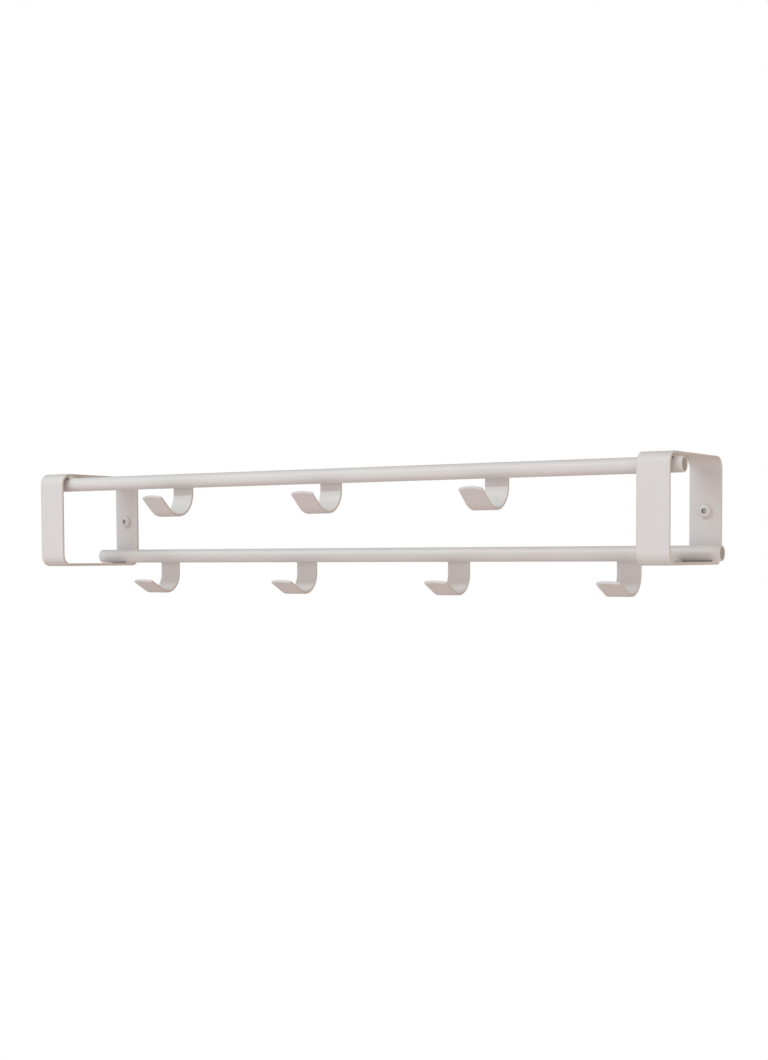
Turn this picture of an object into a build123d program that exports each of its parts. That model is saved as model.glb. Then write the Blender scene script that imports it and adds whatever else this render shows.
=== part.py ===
"""Wall coat rack in welded steel, millimetres.

Two closed loops of flat strap hold two round rails. The upper rail runs inside the front top corners
and carries three hooks, the lower rail runs inside the rear bottom corners and carries four hooks,
set halfway between the upper ones. One screw through the rear of each loop holds the rack.

Axes: +X along the rack, +Y into the wall, +Z up. The origin lies on the wall, midway between the
two screws, so the room is at negative Y.
"""
import os
from math import asin, cos, degrees, radians, sin

from build123d import *

# Overall sizes
RACK_LENGTH = 798.0         # over the outer edges of the two loops
LOOP_HEIGHT = 109.0
LOOP_DEPTH = 138.0

# Flat strap of the end loops
STRAP_WIDTH = 34.3
STRAP_THICKNESS = 3.0
LOOP_BEND_RADIUS = 13.0     # outside of the corner bend
STRAP_EDGE_CHAMFER = 0.5    # softened edges of the strap

# Rails
RAIL_DIAMETER = 16.0
RAIL_WALL = 1.5
RAIL_OVERHANG = 7.8         # past the outer edge of each loop
UPPER_RAIL_SETBACK = 17.8   # rail axis from the front face of the loop
LOWER_RAIL_SETBACK = 19.8   # rail axis from the wall
UPPER_RAIL_GAP = 1.7        # filled by the welds, between the rail and the top strap
LOWER_RAIL_GAP = 0.5        # filled by the welds, between the rail and the bottom strap
RAIL_RIM_CHAMFER = 0.7

# Plugs in the rail ends
PLUG_RECESS = 0.5
PLUG_FACE = 2.0
PLUG_LENGTH = 9.0
PLUG_WALL = 1.2

# Hook strip, bent to a J
HOOK_WIDTH = 26.8
HOOK_THICKNESS = 3.0
HOOK_END_DISTANCE = 95.6    # middle of the outermost hook from the outer edge of the loop
HOOK_SETBACK = 4.5          # front face of the leg behind the rail's axis
HOOK_TOP_DROP = 4.5         # sheared top end of the leg below the rail's axis
HOOK_TIP_RISE = 2.6         # how far the middle of the arched tip stands past its corners
HOOK_TIP_CORNER = 1.3
HOOK_EDGE_CHAMFER = 0.5

UPPER_HOOK_COUNT = 3
UPPER_LEG_LENGTH = 14.3     # rail axis down to the start of the bend
UPPER_BEND_RADIUS = 23.3    # inside of the bend
UPPER_BEND_ANGLE = 131.3
UPPER_LIP_LENGTH = 22.4     # straight part of the lip, at its middle

LOWER_HOOK_COUNT = 4
LOWER_LEG_LENGTH = 20.6
LOWER_BEND_RADIUS = 20.6
LOWER_BEND_ANGLE = 116.9
LOWER_LIP_LENGTH = 25.5

# Wall screws
SCREW_HEAD_DIAMETER = 12.5
SCREW_HEAD_HEIGHT = 4.2
SCREW_HEAD_RIM = 1.0
SCREW_CORE_DIAMETER = 3.8   # plain shank and root of the thread
SCREW_THREAD_DIAMETER = 5.0
SCREW_LENGTH = 20.0         # under the head
SCREW_POINT = 5.0
SCREW_HOLE_CLEARANCE = 0.25  # between the thread and its hole, on the radius
SOCKET_POINTS = 6
SOCKET_OUTER_RADIUS = 2.8
SOCKET_INNER_RADIUS = 2.0
SOCKET_DEPTH = 2.2

# Weld beads. The ends of each rail bead are given along Y, from the rail's axis
RAIL_WELD_RADIUS = 2.2
RAIL_WELD_OUTSET = 0.6      # bead axis past the edge of the strap
UPPER_WELD_SAG = 1.5        # the front end of an upper bead lies lower, where the gap widens
LEFT_UPPER_WELD = (-9.0, 1.0)
LEFT_LOWER_WELD = (-6.0, 8.0)
RIGHT_INNER_UPPER_WELD = (-9.0, 1.0)
RIGHT_INNER_LOWER_WELD = (-13.0, 8.0)
RIGHT_OUTER_UPPER_WELD = (-7.0, 9.0)
RIGHT_OUTER_LOWER_WELD = (-10.0, 8.0)
HOOK_WELD_RADIUS = 2.0
HOOK_WELD_MARGIN = 2.0      # bead's end short of the hook's edge
WELD_SIDES = 8

# Worked out from the sizes above
rail_radius = RAIL_DIAMETER / 2
bore_radius = rail_radius - RAIL_WALL
rail_length = RACK_LENGTH + 2 * RAIL_OVERHANG
loop_x = (RACK_LENGTH - STRAP_WIDTH) / 2
upper_rail_y = -LOOP_DEPTH + UPPER_RAIL_SETBACK
upper_rail_z = LOOP_HEIGHT / 2 - STRAP_THICKNESS - UPPER_RAIL_GAP - rail_radius
lower_rail_y = -LOWER_RAIL_SETBACK
lower_rail_z = -LOOP_HEIGHT / 2 + STRAP_THICKNESS + LOWER_RAIL_GAP + rail_radius
hook_pitch = (RACK_LENGTH - 2 * HOOK_END_DISTANCE) / (LOWER_HOOK_COUNT - 1)


def bar_along_x(radius, length, x, y, z):
    """A round bar along X, centred on the point given."""
    return Pos(x, y, z) * Rot(Y=90) * Cylinder(radius, length)


def end_loop(x):
    """One strap bent to a rectangle with rounded corners, with its screw hole."""
    inner_radius = LOOP_BEND_RADIUS - STRAP_THICKNESS
    outer = RectangleRounded(LOOP_DEPTH, LOOP_HEIGHT, LOOP_BEND_RADIUS)
    inner = RectangleRounded(LOOP_DEPTH - 2 * STRAP_THICKNESS, LOOP_HEIGHT - 2 * STRAP_THICKNESS, inner_radius)
    side = Plane.YZ.offset(x - STRAP_WIDTH / 2) * Pos(-LOOP_DEPTH / 2, 0) * (outer - inner)
    strap = extrude(side, STRAP_WIDTH)
    ends = strap.edges().group_by(Axis.X)
    strap = chamfer(ends[0] + ends[-1], STRAP_EDGE_CHAMFER)
    hole_radius = SCREW_THREAD_DIAMETER / 2 + SCREW_HOLE_CLEARANCE
    hole = Pos(x, -STRAP_THICKNESS / 2, 0) * Rot(X=90) * Cylinder(hole_radius, 2 * STRAP_THICKNESS)
    return strap - hole


def rail(y, z):
    """A tube with softened rims."""
    bar = bar_along_x(rail_radius, rail_length, 0, y, z)
    rims = bar.edges().group_by(Axis.X)
    bar = chamfer(rims[0] + rims[-1], RAIL_RIM_CHAMFER)
    return bar - bar_along_x(bore_radius, 2 * rail_length, 0, y, z)


def rail_plug(side, y, z):
    """A cap pushed into a rail's end: a round face with a skirt behind it. side is -1 or +1."""
    outer_x = side * (rail_length / 2 - PLUG_RECESS)
    cap = bar_along_x(bore_radius, PLUG_LENGTH, outer_x - side * PLUG_LENGTH / 2, y, z)
    skirt_depth = PLUG_LENGTH - PLUG_FACE
    hollow_x = outer_x - side * (PLUG_FACE + skirt_depth)
    return cap - bar_along_x(bore_radius - PLUG_WALL, 2 * skirt_depth, hollow_x, y, z)


def tip_trim(lip_plane):
    """What is sheared off a square lip to leave an arched end with rounded corners."""
    arc_radius = ((HOOK_WIDTH / 2) ** 2 + HOOK_TIP_RISE ** 2) / (2 * HOOK_TIP_RISE)
    kept = Pos(0, -HOOK_WIDTH / 2) * Rectangle(HOOK_WIDTH, HOOK_WIDTH)
    kept = kept & Pos(0, -arc_radius) * Circle(arc_radius)
    kept = fillet(kept.vertices().group_by(Axis.Y)[-1], HOOK_TIP_CORNER)
    reach = HOOK_TIP_RISE + HOOK_TIP_CORNER
    waste = Rectangle(2 * HOOK_WIDTH, 2 * reach) - kept
    return extrude(lip_plane * waste, 2 * HOOK_THICKNESS, both=True)


def hook(x, rail_y, rail_z, leg, bend_radius, bend_angle, lip):
    """A strip welded under a rail: a leg, a forward bend and a straight rising lip."""
    front_y = rail_y + HOOK_SETBACK
    back_y = front_y + HOOK_THICKNESS
    top_z = rail_z - HOOK_TOP_DROP
    bend_z = rail_z - leg
    centre = (front_y - bend_radius, bend_z)
    turn = radians(bend_angle)
    forward, rise = -sin(turn), -cos(turn)

    def on_bend(radius, along=0.0):
        return (centre[0] + radius * cos(turn) + along * forward,
                centre[1] - radius * sin(turn) + along * rise)

    outer_radius = bend_radius + HOOK_THICKNESS
    outline = Curve() + [
        Line((back_y, top_z), (front_y, top_z)),
        Line((front_y, top_z), (front_y, bend_z)),
        CenterArc(centre, bend_radius, 0, -bend_angle),
        Line(on_bend(bend_radius), on_bend(bend_radius, lip)),
        Line(on_bend(bend_radius, lip), on_bend(outer_radius, lip)),
        Line(on_bend(outer_radius, lip), on_bend(outer_radius)),
        CenterArc(centre, outer_radius, -bend_angle, bend_angle),
        Line((back_y, bend_z), (back_y, top_z)),
    ]
    strip = extrude(Plane.YZ.offset(x - HOOK_WIDTH / 2) * make_face(outline), HOOK_WIDTH)
    tip_y, tip_z = on_bend(bend_radius + HOOK_THICKNESS / 2, lip)
    lip_plane = Plane(origin=(x, tip_y, tip_z), x_dir=(1, 0, 0), z_dir=(0, -rise, forward))
    strip = strip - tip_trim(lip_plane)
    sides = strip.edges().group_by(Axis.X)
    rims = (sides[0] + sides[-1]).filter_by(lambda edge: edge.center().Z < top_z - HOOK_EDGE_CHAMFER)
    strip = chamfer(rims, HOOK_EDGE_CHAMFER)
    return strip - bar_along_x(rail_radius, 2 * HOOK_WIDTH, x, rail_y, rail_z)


def star_outline():
    """The socket's star, whose points stand between the arms of a key."""
    step = radians(180 / SOCKET_POINTS)
    radii = [SOCKET_OUTER_RADIUS, SOCKET_INNER_RADIUS] * SOCKET_POINTS
    return Polyline([(r * cos(i * step), r * sin(i * step)) for i, r in enumerate(radii)], close=True)


def wall_screw(x):
    """A domed screw with a star socket, its head seated on the inside of the rear strap."""
    head_radius = SCREW_HEAD_DIAMETER / 2
    shank_radius = SCREW_CORE_DIAMETER / 2
    dome_height = SCREW_HEAD_HEIGHT - SCREW_HEAD_RIM
    dome_radius = (head_radius ** 2 + dome_height ** 2) / (2 * dome_height)
    dome_centre = (0, SCREW_HEAD_HEIGHT - dome_radius)
    dome_start = degrees(asin((SCREW_HEAD_RIM - dome_centre[1]) / dome_radius))
    outline = Curve() + [
        Line((0, -SCREW_LENGTH), (shank_radius, SCREW_POINT - SCREW_LENGTH)),
        Line((shank_radius, SCREW_POINT - SCREW_LENGTH), (shank_radius, 0)),
        Line((shank_radius, 0), (head_radius, 0)),
        Line((head_radius, 0), (head_radius, SCREW_HEAD_RIM)),
        CenterArc(dome_centre, dome_radius, dome_start, 90 - dome_start),
        Line((0, SCREW_HEAD_HEIGHT), (0, -SCREW_LENGTH)),
    ]
    body = revolve(Plane.XZ * make_face(outline), Axis.Z)
    socket = Pos(0, 0, SCREW_HEAD_HEIGHT - SOCKET_DEPTH) * make_face(star_outline())
    body = body - extrude(socket, 2 * SOCKET_DEPTH)
    seat = Plane(origin=(x, -STRAP_THICKNESS, 0), x_dir=(1, 0, 0), z_dir=(0, -1, 0))
    return seat * body


def bead(start, end, radius):
    """An eight-sided rod of weld metal between two points, before its neighbours are cut out of it."""
    start, end = Vector(start), Vector(end)
    run = end - start
    return Plane(origin=start, z_dir=run) * extrude(RegularPolygon(radius, WELD_SIDES), run.length)


def rail_weld(loop, edge_x, outward, rail_y, rail_z, gap_z, sag, span):
    """The bead that joins a rail to one edge of a loop's strap. outward is -1 or +1 along X."""
    x = edge_x + outward * RAIL_WELD_OUTSET
    front, rear = (x, rail_y + span[0], gap_z - sag), (x, rail_y + span[1], gap_z)
    metal = bead(front, rear, RAIL_WELD_RADIUS)
    return metal - bar_along_x(rail_radius, 4 * STRAP_WIDTH, edge_x, rail_y, rail_z) - loop


def hook_weld(hook_solid, x, rail_y, rail_z):
    """The bead along the top of a hook's leg, behind the rail."""
    back_y = rail_y + HOOK_SETBACK + HOOK_THICKNESS
    half = HOOK_WIDTH / 2 - HOOK_WELD_MARGIN
    z = rail_z - HOOK_TOP_DROP
    metal = bead((x - half, back_y, z), (x + half, back_y, z), HOOK_WELD_RADIUS)
    return metal - bar_along_x(rail_radius, 2 * HOOK_WIDTH, x, rail_y, rail_z) - hook_solid


def hook_places(count):
    """X of each hook in a row of hooks that is centred on the rack."""
    return [(i - (count - 1) / 2) * hook_pitch for i in range(count)]


upper_gap_z = upper_rail_z + rail_radius + UPPER_RAIL_GAP / 2
lower_gap_z = lower_rail_z - rail_radius - LOWER_RAIL_GAP / 2
upper_place = (upper_rail_y, upper_rail_z)
lower_place = (lower_rail_y, lower_rail_z)
half_strap = STRAP_WIDTH / 2

parts = {
    "left_end_loop": end_loop(-loop_x),
    "right_end_loop": end_loop(loop_x),
    "upper_rail": rail(*upper_place),
    "lower_rail": rail(*lower_place),
}
plugs = [rail_plug(side, *place) for place in (upper_place, lower_place) for side in (-1, 1)]
parts["rail_plugs"] = Compound(children=plugs)

upper_form = (UPPER_LEG_LENGTH, UPPER_BEND_RADIUS, UPPER_BEND_ANGLE, UPPER_LIP_LENGTH)
lower_form = (LOWER_LEG_LENGTH, LOWER_BEND_RADIUS, LOWER_BEND_ANGLE, LOWER_LIP_LENGTH)
for row, count, place, form in (("upper", UPPER_HOOK_COUNT, upper_place, upper_form),
                                ("lower", LOWER_HOOK_COUNT, lower_place, lower_form)):
    welds = []
    for number, x in enumerate(hook_places(count), start=1):
        one = hook(x, *place, *form)
        parts[f"{row}_hook_{number}"] = one
        welds.append(hook_weld(one, x, *place))
    parts[f"{row}_hook_welds"] = Compound(children=welds)

# The left loop is welded on its inner edge alone, the right loop on both edges.
left, right = parts["left_end_loop"], parts["right_end_loop"]
upper_joint = (*upper_place, upper_gap_z, UPPER_WELD_SAG)
lower_joint = (*lower_place, lower_gap_z, 0.0)
left_edge, right_inner, right_outer = half_strap - loop_x, loop_x - half_strap, loop_x + half_strap
parts["left_loop_welds"] = Compound(children=[
    rail_weld(left, left_edge, 1, *upper_joint, LEFT_UPPER_WELD),
    rail_weld(left, left_edge, 1, *lower_joint, LEFT_LOWER_WELD),
])
parts["right_loop_welds"] = Compound(children=[
    rail_weld(right, right_inner, -1, *upper_joint, RIGHT_INNER_UPPER_WELD),
    rail_weld(right, right_inner, -1, *lower_joint, RIGHT_INNER_LOWER_WELD),
    rail_weld(right, right_outer, 1, *upper_joint, RIGHT_OUTER_UPPER_WELD),
    rail_weld(right, right_outer, 1, *lower_joint, RIGHT_OUTER_LOWER_WELD),
])
parts["wall_screws"] = Compound(children=[wall_screw(-loop_x), wall_screw(loop_x)])

os.makedirs("parts", exist_ok=True)
for name, solid in parts.items():
    export_step(solid, f"parts/{name}.step")
    print(name, round(solid.volume, 1))
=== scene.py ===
"""Wall coat rack: looks, light and camera, in metres, in the frame of the CAD solids."""
from math import cos, pi, radians, sin, sqrt

import bmesh
import bpy
from mathutils import Matrix, Vector


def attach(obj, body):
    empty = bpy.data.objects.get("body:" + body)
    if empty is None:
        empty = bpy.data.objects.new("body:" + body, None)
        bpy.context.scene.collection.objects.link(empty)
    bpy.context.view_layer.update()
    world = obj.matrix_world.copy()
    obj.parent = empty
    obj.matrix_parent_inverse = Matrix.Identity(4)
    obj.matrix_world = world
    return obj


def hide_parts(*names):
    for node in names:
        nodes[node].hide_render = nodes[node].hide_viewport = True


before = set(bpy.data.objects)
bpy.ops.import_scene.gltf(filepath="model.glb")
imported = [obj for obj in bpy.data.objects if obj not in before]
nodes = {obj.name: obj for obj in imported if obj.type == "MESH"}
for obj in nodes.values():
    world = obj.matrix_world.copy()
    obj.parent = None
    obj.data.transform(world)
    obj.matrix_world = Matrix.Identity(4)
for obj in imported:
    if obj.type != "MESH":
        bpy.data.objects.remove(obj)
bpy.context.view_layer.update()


# Camera: the photograph's place, direction and angle of view
CAMERA_PLACE = Vector((1.023967, -1.651403, -0.043397))
CAMERA_YAW, CAMERA_PITCH, CAMERA_ROLL = radians(31.928), radians(3.176), radians(0.272)
CAMERA_LENS, CAMERA_FILM = 57.99, 36.0      # mm, the film along the picture's long side
CAMERA_RISE = 0.1132        # the lens looks a little down, and the picture is taken from its upper part
CAMERA_NEAR, CAMERA_FAR = 0.01, 60


def make_camera():
    ahead = Vector((-sin(CAMERA_YAW) * cos(CAMERA_PITCH),
                    cos(CAMERA_YAW) * cos(CAMERA_PITCH),
                    -sin(CAMERA_PITCH)))
    right = Vector((cos(CAMERA_YAW), sin(CAMERA_YAW), 0))
    down = ahead.cross(right)
    rolled_right = cos(CAMERA_ROLL) * right + sin(CAMERA_ROLL) * down
    rolled_down = -sin(CAMERA_ROLL) * right + cos(CAMERA_ROLL) * down
    turn = Matrix((rolled_right, -rolled_down, -ahead)).transposed()
    data = bpy.data.cameras.new("camera")
    data.lens, data.sensor_width, data.sensor_fit = CAMERA_LENS, CAMERA_FILM, "AUTO"
    data.shift_y = CAMERA_RISE
    data.clip_start, data.clip_end = CAMERA_NEAR, CAMERA_FAR
    camera = bpy.data.objects.new("camera", data)
    camera.matrix_world = Matrix.Translation(CAMERA_PLACE) @ turn.to_4x4()
    bpy.context.scene.collection.objects.link(camera)
    bpy.context.scene.camera = camera


# Materials
NOISE_MIDDLE = (0.3, 0.7)               # the part of a noise's range that most of it lies in
CLOUD_SCALE, SHEEN_SCALE = 14, 60       # slow changes of colour and of gloss, in waves per metre
PEEL_SCALE, SPECK_SCALE, FLECK_SCALE = 420, 1400, 2600
PEEL_DEPTH, PEEL_STRENGTH = 0.00012, 0.35
SPECK_DEPTH, SPECK_STRENGTH = 0.00003, 0.5
CLOUD_LIGHT, CLOUD_DARK = 1.015, (0.975, 0.972, 0.970)
FLECK_DARK, FLECK_SHARE = 0.955, 0.28
COAT_SPECULAR = 0.42


def new_material(name):
    material = bpy.data.materials.new(name)
    material.use_nodes = True
    tree = material.node_tree
    return material, tree, tree.nodes["Principled BSDF"]


def noise(tree, coords, scale, detail=2.0, roughness=0.5):
    node = tree.nodes.new("ShaderNodeTexNoise")
    node.inputs["Scale"].default_value = scale
    node.inputs["Detail"].default_value = detail
    node.inputs["Roughness"].default_value = roughness
    tree.links.new(coords, node.inputs["Vector"])
    return node.outputs["Fac"]


def spread(tree, value, low, high):
    """The middle of a noise's range, stretched to run from low to high."""
    node = tree.nodes.new("ShaderNodeMapRange")
    for socket, number in zip(("From Min", "From Max", "To Min", "To Max"), (*NOISE_MIDDLE, low, high)):
        node.inputs[socket].default_value = number
    tree.links.new(value, node.inputs["Value"])
    return node.outputs["Result"]


def blend_colours(tree, factor, first, second):
    node = tree.nodes.new("ShaderNodeMix")
    node.data_type = "RGBA"
    tree.links.new(factor, node.inputs["Factor"])
    for socket, colour in ((node.inputs["A"], first), (node.inputs["B"], second)):
        if isinstance(colour, tuple):
            socket.default_value = (*colour, 1)
        else:
            tree.links.new(colour, socket)
    return node.outputs["Result"]


def bump(tree, height, distance, strength, below=None):
    node = tree.nodes.new("ShaderNodeBump")
    node.inputs["Distance"].default_value = distance
    node.inputs["Strength"].default_value = strength
    tree.links.new(height, node.inputs["Height"])
    if below is not None:
        tree.links.new(below, node.inputs["Normal"])
    return node.outputs["Normal"]


def coated(name, colour, rough=(0.40, 0.52), grain=1.0):
    """Powder coat: a fine orange-peel skin over a very slightly uneven colour."""
    material, tree, shader = new_material(name)
    coords = tree.nodes.new("ShaderNodeTexCoord").outputs["Object"]
    cloud = spread(tree, noise(tree, coords, CLOUD_SCALE, 3.0), 0, 1)
    speck = spread(tree, noise(tree, coords, SPECK_SCALE, 2.0, 0.6), 0, 1)
    light = tuple(c * CLOUD_LIGHT for c in colour)
    dark = tuple(c * d for c, d in zip(colour, CLOUD_DARK))
    tint = blend_colours(tree, cloud, dark, light)
    fleck = tuple(c * FLECK_DARK for c in colour)
    flecks = spread(tree, noise(tree, coords, FLECK_SCALE, 1.0), 0.0, FLECK_SHARE)
    tree.links.new(blend_colours(tree, flecks, tint, fleck), shader.inputs["Base Color"])
    sheen = spread(tree, noise(tree, coords, SHEEN_SCALE, 3.0), *rough)
    tree.links.new(sheen, shader.inputs["Roughness"])
    peel = bump(tree, noise(tree, coords, PEEL_SCALE), PEEL_DEPTH * grain, PEEL_STRENGTH)
    skin_normal = bump(tree, speck, SPECK_DEPTH * grain, SPECK_STRENGTH, peel)
    tree.links.new(skin_normal, shader.inputs["Normal"])
    shader.inputs["Specular IOR Level"].default_value = COAT_SPECULAR
    return material


def paint(target, material):
    target.data.materials.clear()
    target.data.materials.append(material)


COAT = (0.765, 0.748, 0.738)
SCREW_SHADE = 1.01          # the screws against the coat
powder_coat = coated("powder_coat", COAT)
screw_finish = coated("screw_finish", tuple(c * SCREW_SHADE for c in COAT), rough=(0.24, 0.34), grain=0.5)
# Painted shade: a dark colour on the socket's walls and outer floor stands in for the shade deep in the
# recess
socket_painted_shade = coated("socket_painted_shade", (0.19, 0.175, 0.17), rough=(0.5, 0.6))
# The end plugs: a grey of their own, darkened further as painted shade for the end faces, which turn away
# from the key light
end_plug = coated("end_plug", (0.475, 0.468, 0.47), rough=(0.5, 0.62), grain=1.6)

for name, node in nodes.items():
    if "plug" in name:
        paint(node, end_plug)
    elif name == "wall_screws":
        paint(node, screw_finish)
    else:
        paint(node, powder_coat)


# Pieces: lengths here are in millimetres until a mesh is made
LOOP_X = 381.85             # middle of each loop's strap
HALF_STRAP = 17.15
STRAP_FACE = -3.0           # y of the rear straps' front face, which the screw heads lie against
UPPER_RAIL = (-120.2, 41.8)     # y, z of the axis
LOWER_RAIL = (-19.8, -43.0)
HOOK_PITCH = 202.267
SHARP_EDGE = radians(38)


def skin(name, rings, first_cap, last_cap):
    """A mesh from rings of points in millimetres, each joined to the next. A fan of faces closes each end."""
    points = [Vector(p) / 1000 for ring in rings for p in ring]
    width = len(rings[0])
    faces = []
    for row in range(len(rings) - 1):
        for i in range(width):
            j = (i + 1) % width
            a, b = row * width, (row + 1) * width
            faces.append((a + i, a + j, b + j, b + i))
    for cap, start, flip in ((first_cap, 0, True), (last_cap, (len(rings) - 1) * width, False)):
        points.append(Vector(cap) / 1000)
        hub = len(points) - 1
        for i in range(width):
            pair = (start + i, start + (i + 1) % width)
            faces.append((*(reversed(pair) if flip else pair), hub))
    mesh = bpy.data.meshes.new(name)
    mesh.from_pydata(points, [], faces)
    return mesh


def show(name, meshes, materials, slot, *replaced):
    """One object from several meshes, shaded smooth with its sharp edges kept, standing for CAD nodes."""
    build = bmesh.new()
    for mesh in meshes:
        build.from_mesh(mesh)
        bpy.data.meshes.remove(mesh)
    bmesh.ops.recalc_face_normals(build, faces=build.faces)
    whole = bpy.data.meshes.new(name)
    build.to_mesh(whole)
    build.free()
    whole.shade_smooth()
    whole.set_sharp_from_angle(angle=SHARP_EDGE)
    obj = bpy.data.objects.new(name, whole)
    bpy.context.scene.collection.objects.link(obj)
    for material in materials:
        whole.materials.append(material)
    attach(obj, "root")
    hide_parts(*replaced)


# Wall screws: domed head, six-lobed socket, rolled thread
SCREW_AROUND = 96           # points in each ring
HEAD_RADIUS, HEAD_HEIGHT, HEAD_RIM = 6.25, 4.6, 3.0
SOCKET_RADIUS, SOCKET_LOBE, SOCKET_DEPTH = 2.45, 0.5, 1.3
SOCKET_CENTRE = 0.42        # the innermost ring, as a share of the socket's outline
SOCKET_LIP = 0.16           # how far the socket's rounded edge reaches onto the dome
SOCKET_ROWS = 3             # rows of faces from the socket's floor to its edge, which take the painted socket shade
DOME_ROWS, THREAD_ROWS = 14, 150
CORE_RADIUS, THREAD_RADIUS, THREAD_PITCH = 1.9, 2.5, 2.2
RIDGE_HALF_WIDTH, RIDGE_ROUNDING = 0.23, 0.8    # of the pitch, and the power that shapes the flanks
SCREW_LENGTH, SCREW_POINT, SCREW_NECK = 20.0, 5.0, 3.4
THREAD_FADE, POINT_FADE = 1.5, 1.6      # the length over which the thread begins, and how late it ends
SHANK_START, POINT_RADIUS = 0.5, 0.02
HEAD_SIDE = (               # radius and height over the strap, from the dome's rim to the shank
    (HEAD_RADIUS + 0.02, HEAD_RIM - 0.25),
    (HEAD_RADIUS + 0.02, 0.3),
    (HEAD_RADIUS - 0.12, 0.06),
    (HEAD_RADIUS - 0.3, 0.0),
    (CORE_RADIUS + 0.4, 0.0),
    (CORE_RADIUS + 0.1, -0.25),
)


def screw_mesh(x):
    """The rings run from the socket's floor over the dome and down the shank to the point."""
    around = [2 * pi * i / SCREW_AROUND for i in range(SCREW_AROUND)]
    dome_rise = HEAD_HEIGHT - HEAD_RIM
    dome_radius = (HEAD_RADIUS ** 2 + dome_rise ** 2) / (2 * dome_rise)
    floor = HEAD_HEIGHT - SOCKET_DEPTH

    def dome(r):
        return HEAD_HEIGHT - dome_radius + sqrt(dome_radius ** 2 - r * r)

    def lobed(angle, grow=0.0):
        return SOCKET_RADIUS + SOCKET_LOBE * cos(6 * angle) + grow

    def ring(radius, out):
        """radius may depend on the angle, and out, the height over the strap, on the radius."""
        row = []
        for angle in around:
            r = radius(angle) if callable(radius) else radius
            z = out(r) if callable(out) else out
            row.append((x + r * cos(angle), STRAP_FACE - z, r * sin(angle)))
        return row

    rings = [ring(lambda a: SOCKET_CENTRE * lobed(a), floor - 0.1),
             ring(lambda a: lobed(a, -0.15), floor),
             ring(lobed, floor + 0.15),
             ring(lobed, lambda r: dome(r) - 0.14),
             ring(lambda a: lobed(a, 0.05), lambda r: dome(r) - 0.04),
             ring(lambda a: lobed(a, SOCKET_LIP), dome)]
    for step in range(1, DOME_ROWS + 1):
        share = step / DOME_ROWS
        rings.append(ring(lambda a: lobed(a, SOCKET_LIP) * (1 - share) + HEAD_RADIUS * share, dome))
    rings += [ring(radius, out) for radius, out in HEAD_SIDE]
    for step in range(THREAD_ROWS + 1):
        depth = SHANK_START + (SCREW_LENGTH - SHANK_START) * step / THREAD_ROWS
        taper = min(1.0, (SCREW_LENGTH - depth) / SCREW_POINT)
        fade = min(1.0, max(0.0, (depth - SCREW_NECK) / THREAD_FADE)) * min(1.0, taper * POINT_FADE)
        row = []
        for angle in around:
            turn = (depth / THREAD_PITCH + angle / (2 * pi)) % 1.0
            ridge = max(0.0, 1 - abs(turn - 0.5) / RIDGE_HALF_WIDTH) ** RIDGE_ROUNDING
            r = max(POINT_RADIUS, CORE_RADIUS * taper + (THREAD_RADIUS - CORE_RADIUS) * ridge * fade)
            row.append((x + r * cos(angle), STRAP_FACE + depth, r * sin(angle)))
        rings.append(row)
    mesh = skin("screw", rings, (x, STRAP_FACE - floor + 0.2, 0), (x, STRAP_FACE + SCREW_LENGTH, 0))
    for face in mesh.polygons:      # the second material, the painted socket shade, goes on the socket's walls and the floor beside them
        face.material_index = int(face.index // SCREW_AROUND < SOCKET_ROWS)
    return mesh


# Weld beads: a rippled run of metal, thinner towards its ends
BEAD_ROW, BEAD_AROUND = 0.16, 28        # length of a row, and points in each ring
BEAD_BODY, BEAD_END = 3, 0.75           # powers: the first keeps the middle full, the second blunts the ends
BEAD_TIP = 0.04                         # radius at the ends, as a share
BEAD_WANDER = ((0.03, 1.7, 1), (0.03, 0.6, 2.3))    # shares of the radius, of the travel and of the seed
BEAD_RIPPLE, RIPPLE_PITCH, RIPPLE_LEAN = 0.03, 1.25, 0.8
RAIL_BEAD_RADIUS, RAIL_BEAD_OUTSET = 2.2, 0.1       # outset is how far the bead's middle stands off the edge
UPPER_BEAD_Z = (49.3, 50.7)             # at the front end and at the rear end
LOWER_BEAD_Z = (-51.3, -51.3)
HOOK_BEAD_RADIUS, HOOK_BEAD_HALF = 1.95, 11.8
HOOK_BEAD_Y, HOOK_BEAD_Z = 7.5, -4.5    # from the rail's axis


def bead_mesh(start, end, radius, seed):
    start, end = Vector(start), Vector(end)
    run = end - start
    along = run.normalized()
    across = along.orthogonal().normalized()
    other = along.cross(across)
    rows = int(run.length / BEAD_ROW)
    rings = []
    for row in range(rows + 1):
        share = row / rows
        body = (1 - abs(2 * share - 1) ** BEAD_BODY) ** BEAD_END
        travel = share * run.length
        wander = sum(size * sin(waves * travel + part * seed) for size, waves, part in BEAD_WANDER)
        ring = []
        for i in range(BEAD_AROUND):
            angle = 2 * pi * i / BEAD_AROUND
            ripple = BEAD_RIPPLE * sin(2 * pi * travel / RIPPLE_PITCH + RIPPLE_LEAN * cos(angle + seed))
            r = radius * max(BEAD_TIP, body) * (1 + wander + ripple * body)
            ring.append(start + run * share + across * (r * cos(angle)) + other * (r * sin(angle)))
        rings.append(ring)
    return skin("bead", rings, start, end)


def rail_bead(side, edge, rail, front, rear, seed, radius=RAIL_BEAD_RADIUS, outset=RAIL_BEAD_OUTSET):
    """side is the loop's and edge its strap edge's, each -1 or +1 along X. front and rear are along Y."""
    x = side * LOOP_X + edge * (HALF_STRAP + outset)
    front_z, rear_z = UPPER_BEAD_Z if rail is UPPER_RAIL else LOWER_BEAD_Z
    return bead_mesh((x, rail[0] + front, front_z), (x, rail[0] + rear, rear_z), radius, seed)


def hook_bead(x, rail, seed):
    y, z = rail[0] + HOOK_BEAD_Y, rail[1] + HOOK_BEAD_Z
    return bead_mesh((x - HOOK_BEAD_HALF, y, z), (x + HOOK_BEAD_HALF, y, z), HOOK_BEAD_RADIUS, seed)


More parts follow.
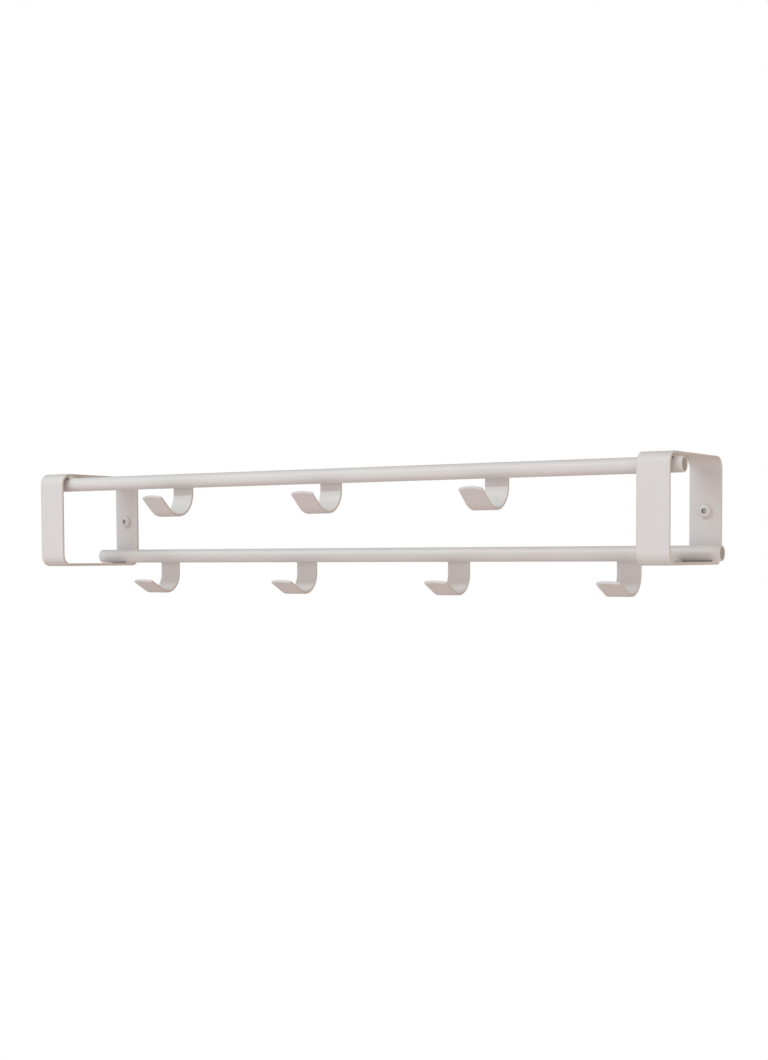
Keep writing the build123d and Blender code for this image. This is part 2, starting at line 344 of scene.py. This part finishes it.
LEFT_BEADS = (                          # what rail_bead takes after the side
    (1, UPPER_RAIL, -6.4, 5.6, 0.4),
    (1, LOWER_RAIL, -5, 9.4, 1.9),
)
RIGHT_BEADS = (
    (-1, UPPER_RAIL, -9.4, 1.4, 3.1),
    (1, UPPER_RAIL, -7.4, 9.4, 4.2, 1.7, -0.9),
    (-1, LOWER_RAIL, -24, 9.4, 5.5),
    (1, LOWER_RAIL, -5.4, 10, 0.9, 1.8, -0.8),
)
UPPER_HOOKS = (-1, 0, 1)                # places along X, in pitches from the middle
LOWER_HOOKS = (-1.5, -0.5, 0.5, 1.5)


def make_fixings():
    show("screws", [screw_mesh(-LOOP_X), screw_mesh(LOOP_X)],
         (screw_finish, socket_painted_shade), "screw_finish", "wall_screws")
    show("left_beads", [rail_bead(-1, *bead) for bead in LEFT_BEADS],
         (powder_coat,), "powder_coat", "left_loop_welds")
    show("right_beads", [rail_bead(1, *bead) for bead in RIGHT_BEADS],
         (powder_coat,), "powder_coat", "right_loop_welds")
    show("upper_hook_beads", [hook_bead(i * HOOK_PITCH, UPPER_RAIL, 1.3 * i + 2) for i in UPPER_HOOKS],
         (powder_coat,), "powder_coat", "upper_hook_welds")
    show("lower_hook_beads", [hook_bead(i * HOOK_PITCH, LOWER_RAIL, 1.7 * i + 4) for i in LOWER_HOOKS],
         (powder_coat,), "powder_coat", "lower_hook_welds")


make_fixings()


# Light and surroundings
STRIP_RISE = radians(45.4)  # the key light is a level strip, above and to the left of the rack
STRIP_PLACE, STRIP_REACH = -1.45, 3.2
STRIP_LENGTH, STRIP_HEIGHT = 2.7, 0.14
STRIP_WATTS = (31.9, 40.3, 41.3)
SIDE_PLACE, SIDE_AIM = Vector((1.5, -0.2, -0.3)), Vector((0.4, -0.07, 0))
SIDE_WIDTH = 0.5            # a small round lamp beside the right end
SIDE_WATTS = (1.96, 1.91, 1.60)
REAR_FILL = 1.2             # light from straight behind, which only reaches what faces the wall
REAR_SPREAD = radians(2)
ROOM_LEVEL = 1.3
ROOM = (                    # each side of the room, with the colour of its light
    ((1, 0, 0), (0.168, 0.102, 0.055)),
    ((0, -1, 0), (0.590, 0.567, 0.590)),
    ((0, 0, 1), (0.330, 0.282, 0.253)),
    ((0, 0, -1), (0.422, 0.347, 0.315)),
)
BACKDROP_RADIUS = 12
FLOOR_RADIUS, FLOOR_Z = 11, -2.2


def add_lamp(name, kind, matrix, energy, **facts):
    data = bpy.data.lights.new(name, kind)
    for fact, value in facts.items():
        setattr(data, fact, value)
    data.energy = max(energy)
    data.color = [part / max(energy) for part in energy]
    lamp = bpy.data.objects.new(name, data)
    lamp.visible_camera = False
    lamp.matrix_world = matrix
    bpy.context.scene.collection.objects.link(lamp)


def facing(direction):
    """A turn that sends a lamp's light along the reverse of direction."""
    return direction.to_track_quat("Z", "Y").to_matrix().to_4x4()


def make_light():
    along, out = Vector((1, 0, 0)), Vector((0, -cos(STRIP_RISE), sin(STRIP_RISE)))
    level = Matrix((along, out.cross(along), out)).transposed().to_4x4()
    add_lamp("key_strip", "AREA", Matrix.Translation(STRIP_PLACE * along + STRIP_REACH * out) @ level,
             STRIP_WATTS, shape="RECTANGLE", size=STRIP_LENGTH, size_y=STRIP_HEIGHT)
    add_lamp("side_lamp", "AREA", Matrix.Translation(SIDE_PLACE) @ facing(SIDE_PLACE - SIDE_AIM),
             SIDE_WATTS, shape="DISK", size=SIDE_WIDTH)
    add_lamp("rear_fill", "SUN", facing(Vector((0, 1, 0))), (REAR_FILL,) * 3, angle=REAR_SPREAD)

    world = bpy.data.worlds.new("soft_room")
    bpy.context.scene.world = world
    world.use_nodes = True
    tree = world.node_tree
    coords = tree.nodes.new("ShaderNodeTexCoord").outputs["Generated"]
    total = None
    for side, colour in ROOM:
        lean = tree.nodes.new("ShaderNodeVectorMath")
        lean.operation = "DOT_PRODUCT"
        lean.inputs[1].default_value = side
        tree.links.new(coords, lean.inputs[0])
        level = tree.nodes.new("ShaderNodeMath")
        level.operation = "MAXIMUM"
        level.inputs[1].default_value = 0.0
        tree.links.new(lean.outputs["Value"], level.inputs[0])
        part = tree.nodes.new("ShaderNodeVectorMath")
        part.operation = "SCALE"
        part.inputs[0].default_value = colour
        tree.links.new(level.outputs["Value"], part.inputs["Scale"])
        if total is None:
            total = part.outputs["Vector"]
        else:
            joined = tree.nodes.new("ShaderNodeVectorMath")
            tree.links.new(total, joined.inputs[0])
            tree.links.new(part.outputs["Vector"], joined.inputs[1])
            total = joined.outputs["Vector"]
    ground = tree.nodes["Background"]
    ground.inputs["Strength"].default_value = ROOM_LEVEL
    tree.links.new(total, ground.inputs["Color"])


def camera_only(obj):
    """Seen by the camera alone, so that it neither lights nor shades the rack."""
    obj.visible_diffuse = obj.visible_glossy = obj.visible_transmission = False
    obj.visible_shadow = obj.visible_volume_scatter = False


def make_surroundings():
    white = bpy.data.materials.new("white_paper")
    white.use_nodes = True
    tree = white.node_tree
    tree.nodes.clear()
    glow = tree.nodes.new("ShaderNodeEmission")
    glow.inputs["Color"].default_value = (1, 1, 1, 1)
    glow.inputs["Strength"].default_value = 1.0
    tree.links.new(glow.outputs[0], tree.nodes.new("ShaderNodeOutputMaterial").inputs["Surface"])
    bpy.ops.mesh.primitive_uv_sphere_add(segments=64, ring_count=32, radius=BACKDROP_RADIUS)
    backdrop = bpy.context.object
    backdrop.name = "backdrop"
    bpy.ops.mesh.primitive_circle_add(vertices=96, radius=FLOOR_RADIUS, fill_type="NGON",
                                      location=(0, 0, FLOOR_Z))
    floor = bpy.context.object
    floor.name = "floor"
    for obj in (backdrop, floor):
        paint(obj, white)
        camera_only(obj)


make_camera()
make_light()
make_surroundings()
bpy.context.scene.view_settings.view_transform = "Standard"
